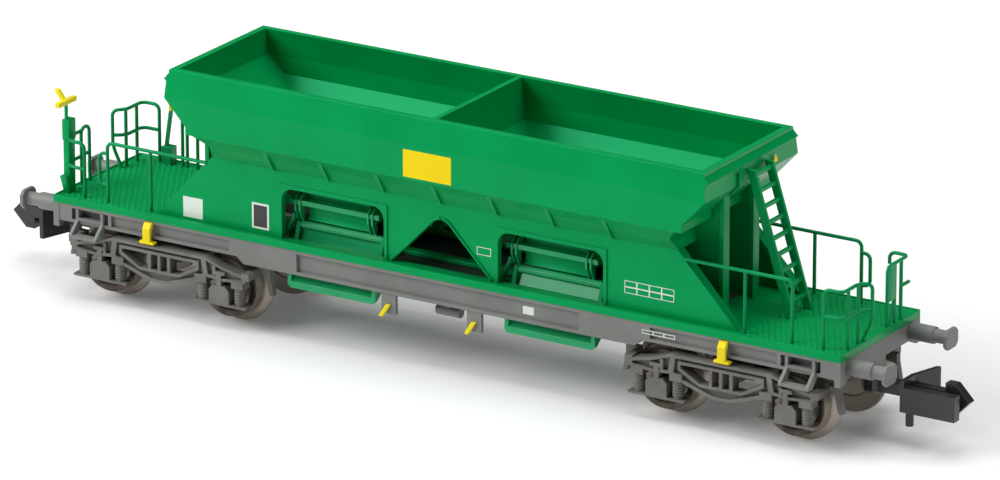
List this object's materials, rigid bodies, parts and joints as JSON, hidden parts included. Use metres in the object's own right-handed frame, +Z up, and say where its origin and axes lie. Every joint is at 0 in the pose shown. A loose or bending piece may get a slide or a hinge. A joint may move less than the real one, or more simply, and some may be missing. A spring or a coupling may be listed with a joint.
{
  "type": "hopper wagon",
  "caption": "Open self-discharging hopper wagon as a small-scale railway model: long body with divided bin on sloping ends, side plates, platforms, bogies, buffers and hook couplers.",
  "frame": {"origin": "on the floor under the wagon's middle", "axes": "+X along the wagon, +Y across it, +Z up"},
  "size_m": [0.0962, 0.016, 0.023],
  "materials": {
    "body_green": "satin painted plastic",
    "gear_green": "satin painted plastic",
    "frame_grey": "matt plastic",
    "bogie_grey": "matt plastic",
    "coupler_black": "matt plastic",
    "wheel_metal": "browned metal",
    "signal_yellow": "painted plastic"
  },
  "bodies": {
    "wagon": {"underframe": "frame_grey", "deck": "body_green", "hopper_shell": "body_green", "side_plate_near": "body_green", "side_plate_far": "body_green", "end_support_a": "body_green", "buffer_a_near": "frame_grey", "step_a_near": "frame_grey", "chute_a_near": "gear_green", "door_gear_a_near": "gear_green", "handrail_a_near": "body_green", "buffer_a_far": "frame_grey", "step_a_far": "frame_grey", "chute_a_far": "gear_green", "door_gear_a_far": "gear_green", "handrail_a_far": "body_green", "end_support_b": "body_green", "buffer_b_near": "frame_grey", "step_b_near": "frame_grey", "chute_b_near": "gear_green", "door_gear_b_near": "gear_green", "handrail_b_near": "body_green", "buffer_b_far": "frame_grey", "step_b_far": "frame_grey", "chute_b_far": "gear_green", "door_gear_b_far": "gear_green", "handrail_b_far": "body_green", "end_guard_a_near": "body_green", "end_guard_b_far": "body_green", "corner_guard_a_far": "body_green", "inner_guard_b_near": "body_green", "brake_column": "body_green", "standing_gear": "body_green", "side_hoop": "body_green", "ladder": "body_green", "end_pipe": "body_green", "brake_handle": "signal_yellow", "post_grip": "signal_yellow", "release_levers": "signal_yellow", "rope_hook_a": "signal_yellow", "rope_hook_b": "signal_yellow", "air_tank": "frame_grey", "lever_plates": "frame_grey"},
    "bogie_a": {"bogie_frame_a": "bogie_grey"},
    "axle_a_outer": {"wheelset_a_outer": "wheel_metal"},
    "axle_a_inner": {"wheelset_a_inner": "wheel_metal"},
    "coupler_a": {"coupler_a": "coupler_black"},
    "bogie_b": {"bogie_frame_b": "bogie_grey"},
    "axle_b_outer": {"wheelset_b_outer": "wheel_metal"},
    "axle_b_inner": {"wheelset_b_inner": "wheel_metal"},
    "coupler_b": {"coupler_b": "coupler_black"}
  },
  "joints": [
    {"name": "bogie_a_swivel", "type": "hinge", "parent": "wagon", "child": "bogie_a", "pos_m": [0.0283, 0, 0.0065], "axis": [0, 0, 1], "range_deg": [-8, 8]},
    {"name": "axle_a_outer_roll", "type": "hinge", "parent": "bogie_a", "child": "axle_a_outer", "pos_m": [0.03455, 0, 0.0037], "axis": [0, 1, 0], "continuous": true},
    {"name": "axle_a_inner_roll", "type": "hinge", "parent": "bogie_a", "child": "axle_a_inner", "pos_m": [0.02205, 0, 0.0037], "axis": [0, 1, 0], "continuous": true},
    {"name": "coupler_a_swing", "type": "hinge", "parent": "wagon", "child": "coupler_a", "pos_m": [0.039, 0, 0.0046], "axis": [0, 0, 1], "range_deg": [-12, 12]},
    {"name": "bogie_b_swivel", "type": "hinge", "parent": "wagon", "child": "bogie_b", "pos_m": [-0.0283, 0, 0.0065], "axis": [0, 0, 1], "range_deg": [-8, 8]},
    {"name": "axle_b_outer_roll", "type": "hinge", "parent": "bogie_b", "child": "axle_b_outer", "pos_m": [-0.03455, 0, 0.0037], "axis": [0, 1, 0], "continuous": true},
    {"name": "axle_b_inner_roll", "type": "hinge", "parent": "bogie_b", "child": "axle_b_inner", "pos_m": [-0.02205, 0, 0.0037], "axis": [0, 1, 0], "continuous": true},
    {"name": "coupler_b_swing", "type": "hinge", "parent": "wagon", "child": "coupler_b", "pos_m": [-0.039, 0, 0.0046], "axis": [0, 0, 1], "range_deg": [-12, 12]}
  ]
}
